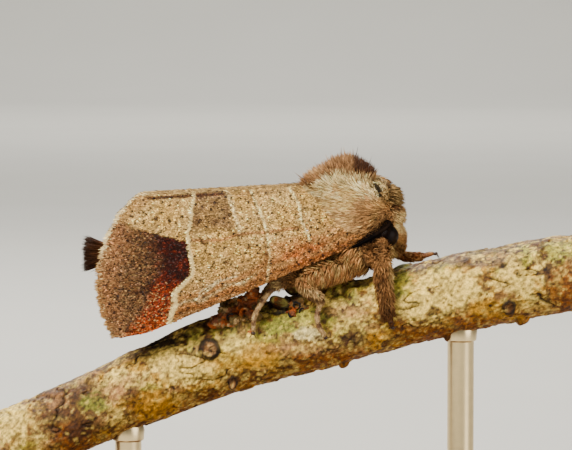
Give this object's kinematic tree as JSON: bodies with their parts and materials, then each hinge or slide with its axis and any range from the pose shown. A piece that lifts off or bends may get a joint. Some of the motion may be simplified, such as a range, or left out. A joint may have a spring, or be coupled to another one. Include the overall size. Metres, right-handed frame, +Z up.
{
  "type": "chocolate-tip moth display model",
  "caption": "Still life-size moth at rest with roofed wings and a hairy crest, gripping a cut twig held over a flat base by short rods.",
  "frame": {"origin": "middle of the flat underside of the display base", "axes": "+Z up; +X towards the moth's head, along the base; +Y towards the moth's left side"},
  "size_m": [0.044, 0.025, 0.0279],
  "materials": {
    "coat": "matte hair",
    "wing": "matte scales",
    "hindwing": "matte scales",
    "eye": "glossy",
    "antenna": "matte",
    "tuft": "matte hair",
    "bark": "rough bark with lichen",
    "bud": "rough bark",
    "wood": "satin varnish",
    "brass": "satin"
  },
  "bodies": {
    "root": {"head": "coat", "thorax": "coat", "abdomen": "coat", "abdomen_tuft": "tuft", "eye_left": "eye", "eye_right": "eye", "antenna_left": "antenna", "antenna_right": "antenna", "forewing_left": "wing", "forewing_right": "wing", "hindwing_left": "hindwing", "hindwing_right": "hindwing", "foreleg_left": "coat", "foreleg_right": "coat", "midleg_left": "coat", "midleg_right": "coat", "hindleg_left": "coat", "hindleg_right": "coat", "perch_twig": "bark", "perch_bud": "bud", "stand_base": "wood", "stand_rod_front": "brass", "stand_rod_rear": "brass"}
  },
  "joints": []
}
